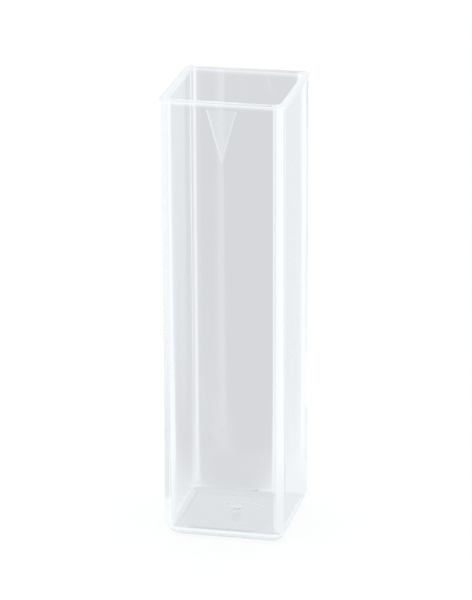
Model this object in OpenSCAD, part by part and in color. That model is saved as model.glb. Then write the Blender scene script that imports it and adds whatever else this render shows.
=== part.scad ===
// Square spectrometer cuvette: one clear moulding with four optical sides,
// an open top with a low rim, and a flat foot with a gate recess.
// Millimetres. +Z is up, and the origin is the middle of the foot.
// The marked wall faces -Y.

/* [Body] */
// Width over two flat sides, just under the rim
body_top_w = 12.13; // [12:0.01:12.4]
// Width over two flat sides at the foot, less by the mould's draft
body_foot_w = 12.05; // [11.8:0.01:12.4]
// Height from the foot to the top of the rim
body_h = 45; // [20:0.5:60]
// Radius of the outer upright edges under the rim
upright_r = 0.4; // [0.2:0.05:1.2]
// Radius that the outer upright edges would reach at the foot without its round
upright_foot_r = 0.6; // [0.2:0.05:1.2]

/* [Foot] */
// Radius of the round between the foot and the sides
foot_r = 1.5; // [0.4:0.1:1.6]
// Radius that the upright edges grow to at the foot, held to the foot's round if it is less
foot_corner_r = 1.6; // [0.4:0.1:2.5]
// Height above which the foot's round leaves the upright edges alone
foot_blend_h = 3.6; // [2:0.1:8]
// Diameter of the shallow round recess under the foot
recess_d = 6.4; // [3:0.1:8]
// Depth of the recess
recess_depth = 0.3; // [0.1:0.05:0.5]
// Diameter of the gate stub in the middle of the recess
gate_d = 1.1; // [0.5:0.1:2]
// Height of the gate stub, held to the recess's depth if it is more
gate_h = 0.2; // [0.05:0.05:0.4]

/* [Rim] */
// Width over the rim, which is the cuvette's full width
rim_w = 12.5; // [12.45:0.05:13.5]
// Height over which the sides flare out to the rim
rim_h = 0.7; // [0.6:0.05:1.5]

/* [Cavity] */
// Width between facing walls at the top
cavity_top_w = 11.1; // [10.5:0.05:11.2]
// Width between facing walls at the floor, less by the mould's draft
cavity_floor_w = 10.4; // [9:0.05:11]
// Thickness of the floor
floor_t = 0.9; // [0.6:0.05:3]
// Radius of the inner upright edges at the top
cavity_r = 0.7; // [0.2:0.05:1.2]
// Radius of the inner upright edges at the floor
cavity_foot_r = 0.5; // [0.2:0.05:1.2]
// Radius where the walls meet the floor, held to the inner uprights' if it is more
floor_r = 0.35; // [0.1:0.05:1.2]
// Diameter of the pip in the middle of the cavity's floor, opposite the gate
pip_d = 1; // [0.5:0.1:2]
// Height of the pip above the floor
pip_h = 0.7; // [0.1:0.05:1]

/* [Wall mark] */
// Width of the triangular mark along the rim
mark_w = 3; // [1:0.1:5]
// Drop of the mark's point below its top edge
mark_drop = 5.3; // [2:0.1:10]
// Depth of the mark in the wall
mark_depth = 0.05; // [0.03:0.01:0.3]

/* [Hidden] */
// Amount by which a cutting shape passes the face that it cuts
pass = 1;
// Thickness of a level in a hull
slice = 0.01;
// Sides of a full circle in the rounded edges
round_fn = 32;
// Sides of a full circle in the foot's turned features
turned_fn = 96;
clear_plastic = [0.86, 0.92, 0.96, 0.5];
// Angles of the levels on the foot's round, from the floor up to the sides
foot_turns = [0 : 15 : 90];
// Shares of the corners' growth at the levels above the foot's round
blend_shares = [0 : 0.25 : 1];

// Width of the drafted body at height z
function body_w(z) = body_foot_w + (body_top_w - body_foot_w) * z / body_h;

// Radius of the body's upright edges at height z
function upright_at(z) =
    upright_r
    + (upright_foot_r - upright_r) * (1 - z / body_h)
    + (max(foot_corner_r, foot_r, upright_foot_r) - upright_foot_r)
    * pow(max(0, 1 - z / foot_blend_h), 2);

// Thin square level with round corners, its lower face at height z
module level(w, corner, z) {
    for (x = [-1, 1], y = [-1, 1])
        translate([x, y] * (w / 2 - corner))
            translate([0, 0, z])
                cylinder(slice, r = max(corner, slice), $fn = round_fn);
}

// Outside of the moulding below the rim: drafted sides on a rounded foot
module body() {
    hull() {
        for (turn = foot_turns) {
            z = foot_r * (1 - cos(turn));
            drawn = foot_r * (1 - sin(turn));
            level(body_w(z) - 2 * drawn, upright_at(z) - drawn, z);
        }
        for (share = blend_shares) {
            z = foot_r + (max(foot_blend_h, foot_r) - foot_r) * share;
            level(body_w(z), upright_at(z), z);
        }
        level(body_top_w, upright_r, body_h - slice);
    }
}

// Round disc of radius r whose lower edge is a quarter round of radius edge
module soft_disc(r, edge) {
    rotate_extrude($fn = round_fn)
        translate([r - edge, edge])
            intersection() {
                circle(edge, $fn = round_fn);
                translate([0, -edge])
                    square(edge);
            }
}

// Space for the sample, cut through the open end
module cavity() {
    depth = body_h - floor_t;
    mouth_w = cavity_top_w + (cavity_top_w - cavity_floor_w) / depth * pass;
    hull()
        for (x = [-1, 1], y = [-1, 1]) {
            translate([x, y] * (cavity_floor_w / 2 - cavity_foot_r))
                translate([0, 0, floor_t])
                    soft_disc(cavity_foot_r, min(floor_r, cavity_foot_r - slice));
            translate([x, y] * (mouth_w / 2 - cavity_r))
                translate([0, 0, body_h + pass - slice])
                    cylinder(slice, r = cavity_r, $fn = round_fn);
        }
}

// Half section of the rim about a corner's axis: a cove that leaves the side smoothly
module rim_section() {
    proud = (rim_w - body_top_w) / 2;
    cove_r = (rim_h * rim_h + proud * proud) / (2 * proud);
    difference() {
        square([upright_r + proud, rim_h]);
        translate([upright_r + cove_r, 0])
            circle(cove_r, $fn = turned_fn);
    }
}

// Flared rim round the open end: a swept side and a turned corner, four times
module rim() {
    axis = body_top_w / 2 - upright_r;
    for (turn = [0 : 90 : 270])
        rotate(turn)
            translate([0, 0, body_h - rim_h]) {
                translate([axis, axis])
                    rotate_extrude(angle = 90, $fn = turned_fn)
                        rim_section();
                translate([axis, axis])
                    rotate([90, 0, 0])
                        linear_extrude(2 * axis)
                            rim_section();
            }
}

// Triangle sunk in the marked wall, pointing down from the rim
module wall_mark() {
    top = body_h - rim_h;
    translate([0, mark_depth - body_top_w / 2, top])
        rotate([90, 0, 0])
            linear_extrude(mark_depth + pass)
                polygon([[-mark_w / 2, 0], [mark_w / 2, 0], [0, -mark_drop]]);
}

// Round recess under the foot, with the stub that the gate leaves
module foot_recess() {
    stub_h = min(gate_h, recess_depth);
    difference() {
        translate([0, 0, -pass])
            cylinder(pass + recess_depth, d = recess_d, $fn = turned_fn);
        translate([0, 0, recess_depth - stub_h])
            cylinder(pass + stub_h, d = gate_d, $fn = turned_fn);
    }
}

// Pip that stands on the cavity's floor, rooted in it
module floor_pip() {
    root = (floor_t - recess_depth) / 2;
    translate([0, 0, floor_t - root])
        cylinder(root + pip_h, d = pip_d, $fn = turned_fn);
}

module cuvette() {
    color(clear_plastic)
        union() {
            difference() {
                union() {
                    body();
                    rim();
                }
                cavity();
                wall_mark();
                foot_recess();
            }
            floor_pip();
        }
}

cuvette();
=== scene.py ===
"""A clear moulded cuvette, free-standing on a pale studio floor.

The moulding is lofted as one closed skin: round the foot, up the outside, over
the rim and down into the cavity. Every corner of a face carries the true
normal of the surface, so flat sides stay optically flat and edges stay round.
"""

import logging
import math
from dataclasses import dataclass, field
from enum import Enum
from typing import Any, Optional, Sequence

import bpy
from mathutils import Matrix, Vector


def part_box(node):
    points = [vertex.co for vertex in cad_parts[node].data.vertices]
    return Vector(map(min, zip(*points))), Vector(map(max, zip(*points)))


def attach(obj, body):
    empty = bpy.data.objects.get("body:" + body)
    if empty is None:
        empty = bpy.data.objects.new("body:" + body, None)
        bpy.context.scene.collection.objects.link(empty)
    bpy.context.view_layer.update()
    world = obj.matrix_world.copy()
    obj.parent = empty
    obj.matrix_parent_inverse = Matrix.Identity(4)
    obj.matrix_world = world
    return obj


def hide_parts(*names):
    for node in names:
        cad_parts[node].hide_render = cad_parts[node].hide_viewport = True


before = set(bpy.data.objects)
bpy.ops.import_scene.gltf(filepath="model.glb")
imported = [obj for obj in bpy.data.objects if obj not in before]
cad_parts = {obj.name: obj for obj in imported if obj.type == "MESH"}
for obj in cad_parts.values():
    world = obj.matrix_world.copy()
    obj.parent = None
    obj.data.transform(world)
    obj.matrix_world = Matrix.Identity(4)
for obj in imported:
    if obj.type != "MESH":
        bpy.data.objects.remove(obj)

MM = 0.001
QUARTER = math.pi / 2
LIGHT_BOUNCES = 512
LEVEL = (1.0, 1.0, 0.0)
WHITE = (1.0, 1.0, 1.0)
Point = tuple[float, float, float]
Colour = tuple[float, float, float]
Tint = tuple[float, float, float, float]
Loop = list[int]

log = logging.getLogger("cuvette")


class Slot(Enum):
    """The finishes of the moulding, in the order of its material slots.

    CLEAR is polished, MATT is the wall mark's, and SOFT is the satin of small edges.
    """

    CLEAR = 0
    MATT = 1
    SOFT = 2


@dataclass(frozen=True)
class Section:
    """One level outline of the moulding: a square with round corners.

    Attributes:
        half: Half the width over two flat sides.
        corner: Radius of the corners.
        z: Height of the outline.
        run: How half, corner and z change along the skin there.
    """

    half: float
    corner: float
    z: float
    run: tuple[float, float, float] = (0.0, 0.0, 1.0)

    def running(self, half: float, corner: float, z: float) -> "Section":
        """The same outline where the skin runs another way."""
        return Section(self.half, self.corner, self.z, (half, corner, z))

    def normal(self, bearing: float) -> Point:
        """Surface normal at a plan angle.

        Args:
            bearing: Angle of the outline's own normal.

        Returns:
            The normal, of unit length.
        """
        along, across = math.cos(bearing), math.sin(bearing)
        half, corner, z = self.run
        spread = (half - corner) * (abs(along) + abs(across)) + corner
        size = math.hypot(z, spread)
        return (z * along / size, z * across / size, -spread / size)


class SkinDraft:
    """Points, faces and corner normals of a closed skin while it is made."""

    def __init__(self, arc_steps: int) -> None:
        """Starts an empty skin.

        Args:
            arc_steps: Faces in each quarter-round corner.
        """
        self.arc_steps = arc_steps
        self.points: list[Point] = []
        self.faces: list[Loop] = []
        self.normals: list[list[Point]] = []
        self.slots: list[int] = []

    def add_point(self, x: float, y: float, z: float) -> int:
        """Adds one point and gives its index."""
        self.points.append((x, y, z))
        return len(self.points) - 1

    def add_face(self, loop: Sequence[int], normals: Sequence[Point], slot: Slot = Slot.CLEAR) -> None:
        """Adds one face.

        Args:
            loop: Its points, anticlockwise from outside.
            normals: The surface normal at each of them.
            slot: The finish of the face.
        """
        self.faces.append(list(loop))
        self.normals.append(list(normals))
        self.slots.append(slot.value)

    def add_flat(self, loop: Sequence[int], normal: Point, slot: Slot = Slot.CLEAR) -> None:
        """Adds one flat face with the same normal at every corner."""
        self.add_face(loop, [normal] * len(loop), slot)

    def bearings(self) -> list[float]:
        """Plan angles of a section's points, corner by corner from +X +Y."""
        steps = self.arc_steps
        return [(corner + step / steps) * QUARTER for corner in range(4) for step in range(steps + 1)]

    def ring(self, section: Section) -> Loop:
        """Adds the points of a section.

        Args:
            section: The outline to place.

        Returns:
            The indices, anticlockwise from above.
        """
        middle = section.half - section.corner
        loop = []
        for number, angle in enumerate(self.bearings()):
            corner = number // (self.arc_steps + 1)
            side_x = 1 if corner in (0, 3) else -1
            side_y = 1 if corner in (0, 1) else -1
            x = side_x * middle + section.corner * math.cos(angle)
            y = side_y * middle + section.corner * math.sin(angle)
            loop.append(self.add_point(x, y, section.z))
        return loop

    def ring_normals(self, section: Section) -> list[Point]:
        """Surface normals at the points of a section."""
        return [section.normal(bearing) for bearing in self.bearings()]

    def band(
        self,
        near: tuple[Loop, Section],
        far: tuple[Loop, Section],
        gap: Optional[int] = None,
        slot: Slot = Slot.CLEAR,
    ) -> None:
        """Joins two sections with a belt of faces.

        Args:
            near: The first ring and the section that gives its normals.
            far: The second ring and its section.
            gap: Number of a face that is left open, if any.
            slot: The belt's finish.
        """
        (ring_a, section_a), (ring_b, section_b) = near, far
        normals_a, normals_b = self.ring_normals(section_a), self.ring_normals(section_b)
        count = len(ring_a)
        for i in range(count):
            if i == gap:
                continue
            j = (i + 1) % count
            self.add_face(
                [ring_a[i], ring_a[j], ring_b[j], ring_b[i]],
                [normals_a[i], normals_a[j], normals_b[j], normals_b[i]],
                slot,
            )

    def front_flat(self) -> int:
        """Number of the face in a band that lies on the side towards -Y."""
        return 3 * (self.arc_steps + 1) - 1

    def build(self, name: str, materials: Sequence[bpy.types.Material]) -> bpy.types.Object:
        """Makes the mesh object.

        Args:
            name: Name of the piece.
            materials: Its finishes, in the order of Slot.

        Returns:
            The object, linked into the scene.
        """
        mesh = bpy.data.meshes.new(name)
        mesh.from_pydata(self.points, [], self.faces)
        for material in materials:
            mesh.materials.append(material)
        mesh.polygons.foreach_set("material_index", self.slots)
        mesh.polygons.foreach_set("use_smooth", [True] * len(self.faces))
        mesh.update()
        corner_normals = [normal for face in self.normals for normal in face]
        mesh.normals_split_custom_set(corner_normals)
        piece = bpy.data.objects.new(name, mesh)
        bpy.context.scene.collection.objects.link(piece)
        return piece


@dataclass
class Cuvette:
    """The moulding: four drafted walls, a rim, a cavity, a wall mark and a foot.

    Sizes are metres. The outer width and the height come from the cuvette part in model.glb.
    The foot's satin is the share of its round, from the floor up, that has the soft finish.
    """

    rim_width: float
    height: float
    rim_proud: float = 0.185 * MM
    rim_height: float = 0.7 * MM
    foot_narrowing: float = 0.08 * MM
    upright_radius: float = 0.5 * MM
    upright_foot: float = 0.6 * MM
    foot_radius: float = 1.5 * MM
    foot_corner: float = 1.6 * MM
    foot_blend: float = 2.6 * MM
    foot_satin: float = 0.67
    cavity_top: float = 11.1 * MM
    cavity_floor: float = 10.9 * MM
    floor_thickness: float = 1.0 * MM
    cavity_radius: float = 0.8 * MM
    cavity_foot: float = 0.7 * MM
    floor_radius: float = 0.35 * MM
    pip_radius: float = 0.5 * MM
    pip_height: float = 0.7 * MM
    pip_crown: float = 0.3 * MM
    edge_break: float = 0.08 * MM
    mark_width: float = 3.0 * MM
    mark_drop: float = 5.3 * MM
    mark_gap: float = 0.05 * MM
    mark_depth: float = 0.05 * MM
    mark_slope: float = 0.12 * MM
    recess_radius: float = 3.2 * MM
    recess_depth: float = 0.15 * MM
    gate_radius: float = 0.55 * MM
    gate_height: float = 0.15 * MM
    arc_steps: int = 36
    turned_steps: int = 192
    skin: SkinDraft = field(init=False)

    def __post_init__(self) -> None:
        """Starts the skin."""
        self.skin = SkinDraft(self.arc_steps)

    @property
    def top_half(self) -> float:
        """Half the body's width at the very top, without the rim."""
        return self.rim_width / 2 - self.rim_proud

    @property
    def foot_half(self) -> float:
        """Half the body's width at the foot."""
        return self.top_half - self.foot_narrowing / 2

    @property
    def rim_foot(self) -> float:
        """Height at which the sides start to flare out to the rim."""
        return self.height - self.rim_height

    @property
    def draft(self) -> float:
        """How much a side leans out for each unit of height."""
        return (self.top_half - self.foot_half) / self.height

    def side_at(self, z: float) -> Section:
        """The body's outline at a height, above the foot's round.

        Args:
            z: The height.

        Returns:
            The section, whose corners grow rounder towards the foot.
        """
        share = max(0.0, 1 - z / self.foot_blend)
        gain = self.foot_corner - self.upright_foot
        ease = (self.upright_foot - self.upright_radius) / self.height
        half = self.foot_half + self.draft * z
        corner = self.upright_foot - ease * z + gain * share**2
        return Section(half, corner, z, (self.draft, -ease - 2 * gain * share / self.foot_blend, 1.0))

    def foot_at(self, angle: float) -> Section:
        """The body's outline on the foot's round.

        Args:
            angle: Angle on the round, zero on the floor and a quarter turn at the sides.

        Returns:
            The section.
        """
        radius = self.foot_radius
        drawn = radius * (1 - math.sin(angle))
        side = self.side_at(radius * (1 - math.cos(angle)))
        rise, spread = radius * math.sin(angle), radius * math.cos(angle)
        half_run, corner_run, _ = side.run
        run = (half_run * rise + spread, corner_run * rise + spread, rise)
        return Section(side.half - drawn, side.corner - drawn, side.z, run)

    def flare_at(self, z: float) -> Section:
        """The outline on the rim's flare, a cove that leaves the side smoothly.

        Args:
            z: The height.

        Returns:
            The section.
        """
        proud, rise = self.rim_proud, z - self.rim_foot
        cove = (self.rim_height**2 + proud**2) / (2 * proud)
        run = math.sqrt(cove**2 - rise**2)
        side = self.side_at(self.rim_foot)
        out = cove - run
        return Section(side.half + out, side.corner + out, z, (rise, rise, run))

    def build(self, materials: Sequence[bpy.types.Material]) -> bpy.types.Object:
        """Lofts the whole skin.

        Args:
            materials: The finishes, in the order of Slot.

        Returns:
            The finished piece.
        """
        first_ring, side_ring = self.build_foot_round()
        self.build_foot_face(first_ring)
        rim_ring = self.build_outside(side_ring)
        inner_ring = self.build_rim(rim_ring)
        self.build_cavity(inner_ring)
        return self.skin.build("cuvette_shell", materials)

    def build_foot_round(self) -> tuple[Loop, Loop]:
        """Rounds the edge between the foot and the sides, and eases the corners above it.

        Returns:
            The ring at the foot and the ring where the plain sides start.
        """
        skin, steps = self.skin, self.arc_steps
        sections = [self.foot_at(QUARTER * step / steps) for step in range(steps + 1)]
        rise = (self.foot_blend - self.foot_radius) / steps
        sections += [self.side_at(self.foot_radius + rise * (step + 1)) for step in range(steps)]
        rings = [skin.ring(section) for section in sections]
        belts = zip(zip(rings, sections), zip(rings[1:], sections[1:]))
        for step, ((ring_a, near), (ring_b, far)) in enumerate(belts):
            slot = Slot.SOFT if step < steps * self.foot_satin else Slot.CLEAR
            skin.band((ring_a, near), (ring_b, far), slot=slot)
        return rings[0], rings[-1]

    def turned_ring(self, radius: float, z: float) -> Loop:
        """Adds the points of a circle round the axis."""
        steps = self.turned_steps
        angles = [2 * math.pi * step / steps for step in range(steps)]
        return [self.skin.add_point(radius * math.cos(a), radius * math.sin(a), z) for a in angles]

    def turned_band(
        self,
        near: Loop,
        far: Loop,
        tilt: float,
        far_tilt: Optional[float] = None,
        slot: Slot = Slot.CLEAR,
    ) -> None:
        """Joins two circles, with normals round the axis.

        Args:
            near: The first circle.
            far: The second circle.
            tilt: Angle of the normal above level, where a level one looks outward.
            far_tilt: That angle at the second circle, if it is another.
            slot: The belt's finish.
        """
        steps = self.turned_steps
        far_tilt = tilt if far_tilt is None else far_tilt
        for i in range(steps):
            j = (i + 1) % steps
            turns = [2 * math.pi * number / steps for number in (i, j)]
            near_i, near_j, far_i, far_j = (
                (math.cos(angle) * math.cos(turn), math.cos(angle) * math.sin(turn), math.sin(angle))
                for angle in (tilt, far_tilt)
                for turn in turns
            )
            self.skin.add_face([near[i], near[j], far[j], far[i]], [near_i, near_j, far_j, far_i], slot)

    def build_foot_face(self, edge: Loop) -> None:
        """Closes the foot, with its round recess and the gate stub.

        Args:
            edge: The ring at the foot's outer edge.
        """
        skin, down = self.skin, (0.0, 0.0, -1.0)
        stub_foot = self.recess_depth - self.gate_height
        mouth = self.turned_ring(self.recess_radius, 0)
        roof_edge = self.turned_ring(self.recess_radius, self.recess_depth)
        stub_root = self.turned_ring(self.gate_radius, self.recess_depth)
        stub_end = self.turned_ring(self.gate_radius, stub_foot)
        self.fill_between(mouth, edge, -1.0)
        self.turned_band(roof_edge, mouth, 2 * QUARTER, slot=Slot.SOFT)
        self.turned_band(stub_root, roof_edge, -QUARTER)
        self.turned_band(stub_end, stub_root, 0.0, slot=Slot.SOFT)
        skin.add_flat(list(reversed(stub_end)), down)

    def fill_between(self, circle: Loop, square: Loop, upward: float) -> None:
        """Fills a level face between a circle and a ring round it.

        Args:
            circle: The inner circle.
            square: The outer ring.
            upward: One where the face looks up, minus one where it looks down.
        """
        skin, facing = self.skin, (0.0, 0.0, upward)
        turn = -int(upward)
        points = [Vector(point) for point in skin.points]
        angles = [math.atan2(points[i].y, points[i].x) % (4 * QUARTER) for i in square]
        start = angles.index(min(angles))
        square = square[start:] + square[:start]
        near, far = circle + circle[:1], square + square[:1]
        a = b = 0
        while a < len(circle) or b < len(square):
            on_near = a < len(circle)
            if on_near and b < len(square):
                across_near = (points[near[a + 1]] - points[far[b]]).length
                across_far = (points[near[a]] - points[far[b + 1]]).length
                on_near = across_near <= across_far
            if on_near:
                skin.add_flat([near[a], near[a + 1], far[b]][::turn], facing)
                a += 1
            else:
                skin.add_flat([far[b + 1], far[b], near[a]][::turn], facing)
                b += 1

    def build_outside(self, foot_ring: Loop) -> Loop:
        """Raises the drafted sides to the rim, with the mark in the front one.

        Args:
            foot_ring: The ring where the plain sides start.

        Returns:
            The ring where the sides start to flare.
        """
        skin = self.skin
        low, high = self.side_at(self.foot_blend), self.side_at(self.rim_foot)
        high_ring = skin.ring(high)
        skin.band((foot_ring, low), (high_ring, high), gap=skin.front_flat())
        self.build_mark(foot_ring, high_ring)
        return high_ring

    def build_mark(self, foot_ring: Loop, high_ring: Loop) -> None:
        """Closes the front side round the sunk triangle.

        Args:
            foot_ring: The ring where the plain sides start.
            high_ring: The ring where they start to flare.
        """
        skin = self.skin
        left = skin.front_flat()
        right = left + 1
        front = self.side_at(self.rim_foot).normal(-QUARTER)
        z = self.rim_foot - self.mark_gap
        tip_z = z - self.mark_drop
        half, slope = self.mark_width / 2, self.mark_slope
        share = (half - slope) / half
        depth = self.mark_depth
        face_y, tip_y = -self.side_at(z).half, -self.side_at(tip_z).half
        outline = ((-half, face_y, z), (half, face_y, z), (0, tip_y, tip_z))
        mouth = [skin.add_point(*point) for point in outline]
        sunk = [
            skin.add_point(x * share, y + depth, z + (height - z) * share)
            for x, y, height in (skin.points[i] for i in mouth)
        ]
        left_foot, right_foot = foot_ring[left], foot_ring[right]
        left_high, right_high = high_ring[left], high_ring[right]
        skin.add_flat([left_foot, right_foot, mouth[2]], front)
        skin.add_flat([left_foot, mouth[2], mouth[0], left_high], front)
        skin.add_flat([right_foot, right_high, mouth[1], mouth[2]], front)
        skin.add_flat([left_high, mouth[0], mouth[1], right_high], front)
        skin.add_flat([sunk[0], sunk[2], sunk[1]], front, Slot.MATT)
        for i, j in ((0, 2), (2, 1), (1, 0)):
            loop = [mouth[i], mouth[j], sunk[j], sunk[i]]
            a, b, d = (Vector(skin.points[loop[k]]) for k in (0, 1, 3))
            flank = (b - a).cross(d - a).normalized()
            skin.add_flat(loop, tuple(flank), Slot.MATT)

    def build_rim(self, lower_ring: Loop) -> Loop:
        """Flares the sides to the rim and turns over its top, with both edges broken.

        Args:
            lower_ring: The ring where the sides start to flare.

        Returns:
            The ring where the cavity's walls start.
        """
        skin, soft = self.skin, self.edge_break
        inner_half, inner_corner = self.cavity_top / 2, self.cavity_radius
        flare_steps = self.arc_steps
        flare_rise = (self.rim_height - soft) / flare_steps
        ring, previous = lower_ring, self.side_at(self.rim_foot)
        sections = [self.flare_at(self.rim_foot + flare_rise * (step + 1)) for step in range(flare_steps)]
        outer = sections[-1]
        lean = math.atan2(outer.run[0], outer.run[2])
        steps = self.arc_steps // 2
        turns = [QUARTER * step / steps for step in range(steps + 1)]
        swing = QUARTER + lean
        rise = soft / (1 + math.sin(lean))
        for turn in (swing * step / steps - lean for step in range(1, steps + 1)):
            drawn = rise * (math.cos(lean) - math.cos(turn))
            sections.append(
                Section(
                    outer.half - drawn,
                    outer.corner - drawn,
                    outer.z + rise * (math.sin(turn) + math.sin(lean)),
                    (-math.sin(turn), -math.sin(turn), math.cos(turn)),
                )
            )
        sections += [
            Section(
                inner_half + soft * (1 - math.sin(turn)),
                inner_corner + soft * (1 - math.sin(turn)),
                self.height - soft * (1 - math.cos(turn)),
                (-math.cos(turn), -math.cos(turn), -math.sin(turn)),
            )
            for turn in turns
        ]
        for section in sections:
            next_ring = skin.ring(section)
            skin.band((ring, previous), (next_ring, section))
            ring, previous = next_ring, section
        return ring

    def build_cavity(self, top_ring: Loop) -> None:
        """Lowers the cavity's drafted walls, rounds its foot and lays its floor.

        Args:
            top_ring: The ring where the walls start.
        """
        skin, radius = self.skin, self.floor_radius
        floor_half = self.cavity_floor / 2
        depth = self.height - self.floor_thickness - radius
        fall = (floor_half - self.cavity_top / 2, self.cavity_foot - self.cavity_radius, -depth)
        ring, previous = top_ring, Section(self.cavity_top / 2, self.cavity_radius, self.height, fall)
        for step in range(self.arc_steps + 1):
            angle = QUARTER * step / self.arc_steps
            drawn = radius * (1 - math.cos(angle))
            section = Section(
                floor_half - drawn,
                self.cavity_foot - drawn,
                self.floor_thickness + radius * (1 - math.sin(angle)),
                (-math.sin(angle), -math.sin(angle), -math.cos(angle)) if step else fall,
            )
            next_ring = skin.ring(section)
            skin.band((ring, previous), (next_ring, section))
            ring, previous = next_ring, section
        self.build_floor(ring)

    def build_floor(self, edge: Loop) -> None:
        """Closes the cavity's floor, with the pip in its middle: a satin side and a clear crown.

        Args:
            edge: The ring at the floor's outer edge.
        """
        radius, crown = self.pip_radius, self.pip_crown
        ring = self.turned_ring(radius, self.floor_thickness)
        self.fill_between(ring, edge, 1.0)
        shoulder = self.floor_thickness + self.pip_height - crown
        tilt, slot = 0.0, Slot.SOFT
        for step in range(self.arc_steps):
            angle = QUARTER * step / self.arc_steps
            next_ring = self.turned_ring(radius * math.cos(angle), shoulder + crown * math.sin(angle))
            next_tilt = math.atan2(radius * math.sin(angle), crown * math.cos(angle))
            self.turned_band(ring, next_ring, tilt, next_tilt, slot)
            ring, tilt, slot = next_ring, next_tilt, Slot.CLEAR
        self.skin.add_flat(ring, (0.0, 0.0, 1.0))


class Value:
    """A shader socket that can be used in plain arithmetic."""

    def __init__(self, sheet: "NodeSheet", socket: Optional[bpy.types.NodeSocket]) -> None:
        """Wraps a socket.

        Args:
            sheet: The node sheet that it is on.
            socket: The output to wrap, or nothing for a node that has none.
        """
        self.sheet = sheet
        self.socket = socket

    def maths(self, operation: str, *others: Any) -> "Value":
        """Adds a Math node.

        Args:
            operation: Its operation.
            others: The further inputs, numbers or values.

        Returns:
            The node's result.
        """
        inputs = dict(enumerate((self, *others)))
        return self.sheet.node("ShaderNodeMath", {"operation": operation}, inputs)

    def __add__(self, other: Any) -> "Value":
        """This value plus another."""
        return self.maths("ADD", other)

    def __sub__(self, other: Any) -> "Value":
        """This value less another."""
        return self.maths("SUBTRACT", other)

    def __mul__(self, other: Any) -> "Value":
        """This value times another."""
        return self.maths("MULTIPLY", other)

    def __rsub__(self, other: Any) -> "Value":
        """Another value less this one."""
        return self.sheet.node("ShaderNodeMath", {"operation": "SUBTRACT"}, {0: other, 1: self})

    __radd__ = __add__
    __rmul__ = __mul__


class NodeSheet:
    """The nodes of one material or world."""

    def __init__(self, tree: bpy.types.NodeTree) -> None:
        """Clears a node tree.

        Args:
            tree: The tree to draw on.
        """
        self.tree = tree
        tree.nodes.clear()

    def node(
        self,
        kind: str,
        settings: Optional[dict[str, Any]] = None,
        inputs: Optional[dict[Any, Any]] = None,
        output: Any = 0,
    ) -> Value:
        """Adds one node.

        Args:
            kind: The node's type.
            settings: Properties that are set first.
            inputs: Numbers, colours or values for its sockets.
            output: The output that is wanted.

        Returns:
            That output, ready for arithmetic.
        """
        made = self.tree.nodes.new(kind)
        for name, setting in (settings or {}).items():
            setattr(made, name, setting)
        for name, value in (inputs or {}).items():
            if isinstance(value, Value):
                self.tree.links.new(value.socket, made.inputs[name])
            else:
                made.inputs[name].default_value = value
        return Value(self, made.outputs[output] if made.outputs else None)

    def ramp(self, value: Value, low: float, high: float, start: float, end: float) -> Value:
        """Eases from one number to another while a value rises.

        Args:
            value: The value that rises.
            low: Where the change starts.
            high: Where it ends.
            start: The result up to there.
            end: The result from there on.

        Returns:
            The eased result.
        """
        inputs = {"Value": value, "From Min": low, "From Max": high, "To Min": start, "To Max": end}
        return self.node("ShaderNodeMapRange", {"interpolation_type": "SMOOTHSTEP"}, inputs)

    def vector(self, operation: str, *inputs: Any, output: Any = 0) -> Value:
        """Adds a Vector Math node.

        Args:
            operation: Its operation.
            inputs: Vectors or values for its sockets, in order.
            output: The output that is wanted.

        Returns:
            The node's result.
        """
        return self.node("ShaderNodeVectorMath", {"operation": operation}, dict(enumerate(inputs)), output)

    def blend(self, share: Value, first: Any, second: Any) -> Value:
        """Mixes two colours.

        Args:
            share: How much of the second there is.
            first: A colour or value.
            second: A colour or value.

        Returns:
            The mixed colour.
        """
        inputs = {0: share, 4: first, 5: second}
        return self.node("ShaderNodeMix", {"data_type": "VECTOR"}, inputs, output=1)

    def mix_shaders(self, share: Value, first: Value, second: Value) -> Value:
        """Mixes two shaders.

        Args:
            share: How much of the second there is.
            first: A shader.
            second: A shader.

        Returns:
            The mixed shader.
        """
        return self.node("ShaderNodeMixShader", None, {0: share, 1: first, 2: second})

    def ray(self, *kinds: str) -> Value:
        """One where the ray is of any of these kinds, else zero.

        Args:
            kinds: Outputs of the Light Path node.

        Returns:
            Their sum.
        """
        path = self.tree.nodes.new("ShaderNodeLightPath")
        total = Value(self, path.outputs[kinds[0]])
        for kind in kinds[1:]:
            total = total + Value(self, path.outputs[kind])
        return total


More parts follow.
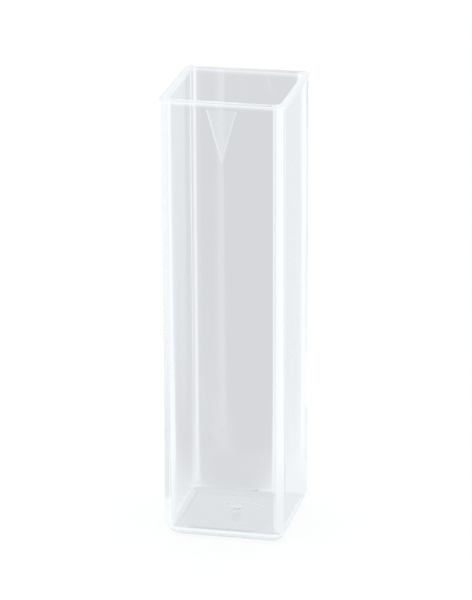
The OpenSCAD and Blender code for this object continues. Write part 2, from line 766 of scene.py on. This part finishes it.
@dataclass(frozen=True)
class ClearPlastic:
    """Clear moulded polystyrene, with the faint flow waves of moulding.

    Attributes:
        name: Name of the finish.
        roughness: How rough its surface is.
        haze: Share of the light from outside that the surface scatters.
        tint: The plastic's own colour.
        refraction: The plastic's index of refraction.
        wave_scale: How closely the flow waves follow each other.
        wave_axes: Their scale along each axis, drawn out along the walls.
        wave_detail: How many finer waves lie on them.
        wave_depth: How strongly they show.
        wave_height: Height of a wave at full strength.
        veil: Colour of the light that the plastic leaves in its shadow.
    """

    name: str
    roughness: float = 0.0
    haze: float = 0.0
    tint: Tint = (1.0, 1.0, 1.0, 1.0)
    refraction: float = 1.59
    wave_scale: float = 180.0
    wave_axes: Point = (1.0, 1.0, 0.25)
    wave_detail: float = 2.0
    wave_depth: float = 0.02
    wave_height: float = 1.0 * MM
    veil: Tint = (0.93, 0.94, 0.95, 1.0)

    def make(self) -> bpy.types.Material:
        """Makes the material.

        Returns:
            The finished material.
        """
        material = bpy.data.materials.new(self.name)
        material.use_nodes = True
        sheet = NodeSheet(material.node_tree)
        place = sheet.node("ShaderNodeTexCoord", output="Object")
        drawn_out = sheet.node("ShaderNodeMapping", None, {"Vector": place, "Scale": self.wave_axes})
        pattern = {"Vector": drawn_out, "Scale": self.wave_scale, "Detail": self.wave_detail}
        waves = sheet.node("ShaderNodeTexNoise", None, pattern)
        relief = {"Strength": self.wave_depth, "Distance": self.wave_height, "Height": waves}
        bump = sheet.node("ShaderNodeBump", None, relief)
        plastic = self.moulding(sheet, bump, 1.0)
        if self.haze:
            outside = 1 - sheet.node("ShaderNodeNewGeometry", output="Backfacing")
            hazed = self.moulding(sheet, bump, 1.0 - self.haze)
            plastic = sheet.mix_shaders(outside, plastic, hazed)
        veil = sheet.node("ShaderNodeBsdfTransparent", None, {"Color": self.veil})
        surface = sheet.mix_shaders(sheet.ray("Is Shadow Ray"), plastic, veil)
        sheet.node("ShaderNodeOutputMaterial", None, {"Surface": surface})
        return material

    def moulding(self, sheet: NodeSheet, bump: Value, clearness: float) -> Value:
        """Adds the plastic's own shader.

        Args:
            sheet: The node sheet to draw on.
            bump: The surface's normal.
            clearness: How much of the light passes straight through.

        Returns:
            The shader.
        """
        inputs = {
            "Base Color": self.tint,
            "Roughness": self.roughness,
            "IOR": self.refraction,
            "Transmission Weight": clearness,
            "Normal": bump,
        }
        return sheet.node("ShaderNodeBsdfPrincipled", None, inputs)


@dataclass(frozen=True)
class Stretch:
    """A softly bounded stretch of the floor's glow: painted light where it is bright, painted shade where
    it is dark.

    Attributes:
        bearing: Where its middle lies, in degrees clockwise from +Y.
        core: Half its full-strength width, in degrees.
        reach: Half the width at which it ends, in degrees.
        setback: How far past the middle, on the far side from it, it starts to widen.
            Where this is negative, it starts on its own side.
        colour: Its colour and brightness: painted light where it is brighter than the open floor, painted
            shade where it is darker.
        fades: Distance from the object at which it starts to fade.
        ends: Distance at which it has faded.
        remainder: Share of it that is left beyond.
    """

    bearing: float
    core: float
    reach: float
    setback: float
    colour: Colour
    fades: float = 120 * MM
    ends: float = 420 * MM
    remainder: float = 0.4

    def over(self, sheet: NodeSheet, place: Value, ground: Value) -> Value:
        """Lays the stretch over what is there.

        Args:
            sheet: The node sheet to draw on.
            place: A position on the floor.
            ground: The colour there without the stretch.

        Returns:
            The colour with it.
        """
        bearing = math.radians(self.bearing)
        toward = (math.sin(bearing), math.cos(bearing), 0.0)
        set_back = tuple(self.setback * part for part in toward)
        level = sheet.vector("NORMALIZE", sheet.vector("MULTIPLY_ADD", place, LEVEL, set_back))
        facing = sheet.vector("DOT_PRODUCT", level, toward, output="Value")
        side, middle = math.cos(math.radians(self.reach)), math.cos(math.radians(self.core))
        across = sheet.ramp(facing, side, middle, 0.0, 1.0)
        away = sheet.vector("LENGTH", place, output="Value")
        lasting = sheet.ramp(away, self.fades, self.ends, 1.0, self.remainder)
        return sheet.blend(across * lasting, ground, self.colour)


@dataclass
class Studio:
    """A pale floor and a pale world, both white to the camera.

    What the plastic shows of the floor is a glow with painted light and shade on it: a
    painted shadow under the foot, painted shade close to it, and soft stretches of painted
    light and painted shade.

    Attributes:
        floor_size: Length of the floor's sides.
        air_gap: Space that is left under the foot.
        floor_tone: The floor's own colour, which lights the object.
        open_colour: What the plastic shows of the open floor.
        foot_shadow_colour: The painted shadow that it shows under the foot.
        foot_shadow_core: Half the width of the full-strength painted shadow under the foot.
        foot_shadow_reach: Half the width at which that painted shadow ends.
        foot_shadow_middle: Where the painted shadow's middle lies.
        world_colour: What the plastic shows of the world.
        near_shade_share: Painted shade close to the object, as the share of the open colour left there.
        near_shade_starts: Distance up to which that painted shade is full.
        near_shade_ends: Distance from which the painted shade has gone.
        white_share: What the floor gives the camera without any light.
        shadow_share: The floor's colour on top of that, which takes the shadow.
        stretches: The stretches of painted light and shade, in the order in which they lie over each
            other.
    """

    floor_size: float = 4.0
    air_gap: float = 0.02 * MM
    floor_tone: Tint = (0.8, 0.8, 0.8, 1.0)
    open_colour: Colour = (0.965, 1.0, 1.03)
    foot_shadow_colour: Colour = (0.69, 0.71, 0.73)
    foot_shadow_core: float = 5.1 * MM
    foot_shadow_reach: float = 6.9 * MM
    foot_shadow_middle: Point = (-0.15 * MM, 0.6 * MM, 0.0)
    world_colour: Colour = (0.93, 0.98, 1.01)
    near_shade_share: float = 0.9
    near_shade_starts: float = 7.0 * MM
    near_shade_ends: float = 28.0 * MM
    white_share: float = 0.9
    shadow_share: float = 0.12
    stretches: tuple[Stretch, ...] = (
        # Painted shade at 346, 170 and 184 degrees; painted light, standing in for soft lamps, at 33 and
        # 213.
        Stretch(346.0, 4.0, 27.0, 0.0, (0.70, 0.71, 0.73)),
        Stretch(33.0, 3.0, 10.0, -20.0 * MM, (1.15, 1.2, 1.23)),
        Stretch(170.0, 2.0, 26.0, 8.0 * MM, (0.74, 0.77, 0.79)),
        Stretch(184.0, 11.0, 14.5, 8.0 * MM, (0.55, 0.58, 0.6)),
        Stretch(213.0, 9.0, 15.5, -10.0 * MM, (1.22, 1.27, 1.3)),
    )

    def build(self) -> None:
        """Lays the floor and sets the world."""
        self.build_floor()
        self.build_world()

    def floor_around(self, sheet: NodeSheet) -> Value:
        """The floor's glow that the plastic shows, with painted light and shade on it."""
        place = sheet.node("ShaderNodeTexCoord", output="Object")
        away = sheet.vector("LENGTH", place, output="Value")
        # Painted shade: the floor that the plastic shows is darker close to the object.
        near = sheet.ramp(away, self.near_shade_starts, self.near_shade_ends, self.near_shade_share, 1.0)
        tone = sheet.vector("MULTIPLY", near, self.open_colour)
        for stretch in self.stretches:
            tone = stretch.over(sheet, place, tone)
        # Painted shadow: a darker square patch on the floor under the foot.
        offset = sheet.vector("ABSOLUTE", sheet.vector("SUBTRACT", place, self.foot_shadow_middle))
        aside = sheet.node("ShaderNodeSeparateXYZ", None, {0: offset}, output="X")
        ahead = sheet.node("ShaderNodeSeparateXYZ", None, {0: offset}, output="Y")
        under = sheet.ramp(aside.maths("MAXIMUM", ahead), self.foot_shadow_core, self.foot_shadow_reach, 1.0, 0.0)
        return sheet.blend(under, tone, self.foot_shadow_colour)

    def build_floor(self) -> None:
        """Lays the floor, which the camera sees as white with a faint shadow."""
        half = self.floor_size / 2
        mesh = bpy.data.meshes.new("floor")
        corners = [(-half, -half, 0), (half, -half, 0), (half, half, 0), (-half, half, 0)]
        mesh.from_pydata(corners, [], [(0, 1, 2, 3)])
        material = bpy.data.materials.new("pale_floor")
        material.use_nodes = True
        sheet = NodeSheet(material.node_tree)
        matt = sheet.node("ShaderNodeBsdfDiffuse", None, {"Color": self.floor_tone})
        white = sheet.node("ShaderNodeEmission", None, {"Strength": self.white_share})
        grey = (self.shadow_share,) * 3 + (1.0,)
        shaded = sheet.node("ShaderNodeBsdfDiffuse", None, {"Color": grey})
        open_floor = sheet.node("ShaderNodeAddShader", None, {0: white, 1: shaded})
        # Reflection and refraction rays see this glow instead of the lit floor, with painted light and
        # shade on it.
        around = sheet.node("ShaderNodeEmission", None, {"Color": self.floor_around(sheet)})
        seen = sheet.mix_shaders(sheet.ray("Is Glossy Ray", "Is Transmission Ray"), matt, around)
        surface = sheet.mix_shaders(sheet.ray("Is Camera Ray"), seen, open_floor)
        sheet.node("ShaderNodeOutputMaterial", None, {"Surface": surface})
        mesh.materials.append(material)
        floor = bpy.data.objects.new("floor", mesh)
        floor.location.z = -self.air_gap
        bpy.context.scene.collection.objects.link(floor)

    def build_world(self) -> None:
        """Sets a soft world that the camera sees as white."""
        world = bpy.data.worlds.new("studio")
        bpy.context.scene.world = world
        world.use_nodes = True
        sheet = NodeSheet(world.node_tree)
        colour = sheet.blend(sheet.ray("Is Camera Ray"), self.world_colour, WHITE)
        light = sheet.node("ShaderNodeBackground", None, {"Color": colour})
        sheet.node("ShaderNodeOutputWorld", None, {"Surface": light})


@dataclass(frozen=True)
class Viewpoint:
    """The camera: a long lens, above and to the right of the marked side."""

    azimuth: float = 12.55
    elevation: float = 19.38
    roll: float = -0.222
    distance: float = 0.4023
    target_z: float = 0.0225
    focal_pixels: float = 4104.0
    centre_x: float = 235.89
    centre_y: float = 306.08
    frame_width: int = 472
    frame_height: int = 600
    sensor: float = 36.0
    clip_start: float = 10.0 * MM

    def build(self) -> None:
        """Places the camera and makes it the scene's."""
        data = bpy.data.cameras.new("camera")
        data.sensor_fit = "VERTICAL"
        data.sensor_height = self.sensor
        data.lens = self.focal_pixels / self.frame_height * self.sensor
        data.shift_x = (self.frame_width / 2 - self.centre_x) / self.frame_height
        data.shift_y = (self.centre_y - self.frame_height / 2) / self.frame_height
        data.clip_start = self.clip_start
        camera = bpy.data.objects.new("camera", data)
        azimuth, elevation = math.radians(self.azimuth), math.radians(self.elevation)
        level = math.cos(elevation)
        back = Vector((math.sin(azimuth) * level, -math.cos(azimuth) * level, math.sin(elevation)))
        camera.location = Vector((0, 0, self.target_z)) + back * self.distance
        turn = back.to_track_quat("Z", "Y").to_matrix()
        camera.rotation_euler = turn.to_euler()
        camera.rotation_euler.rotate_axis("Z", math.radians(self.roll))
        bpy.context.scene.collection.objects.link(camera)
        bpy.context.scene.camera = camera


def main() -> None:
    """Builds the camera, the studio and the moulding, and reports the piece."""
    logging.basicConfig(level=logging.INFO, format="%(name)s: %(message)s")
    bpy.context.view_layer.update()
    bpy.context.scene.view_settings.view_transform = "Standard"
    for limit in ("max_bounces", "transmission_bounces", "glossy_bounces", "diffuse_bounces"):
        setattr(bpy.context.scene.cycles, limit, LIGHT_BOUNCES)
    Viewpoint().build()
    Studio().build()
    low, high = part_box("cuvette")
    body = Cuvette(rim_width=high.x - low.x, height=high.z)
    clear = ClearPlastic("clear_plastic")
    matt = ClearPlastic("matt_mark", roughness=0.05, haze=0.33)
    soft = ClearPlastic("soft_edge", haze=0.3)
    shell = body.build([finish.make() for finish in (clear, matt, soft)])
    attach(shell, "root")
    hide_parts("cuvette")
    log.info("%s: %d faces", shell.name, len(shell.data.polygons))


if __name__ == "__main__":
    main()
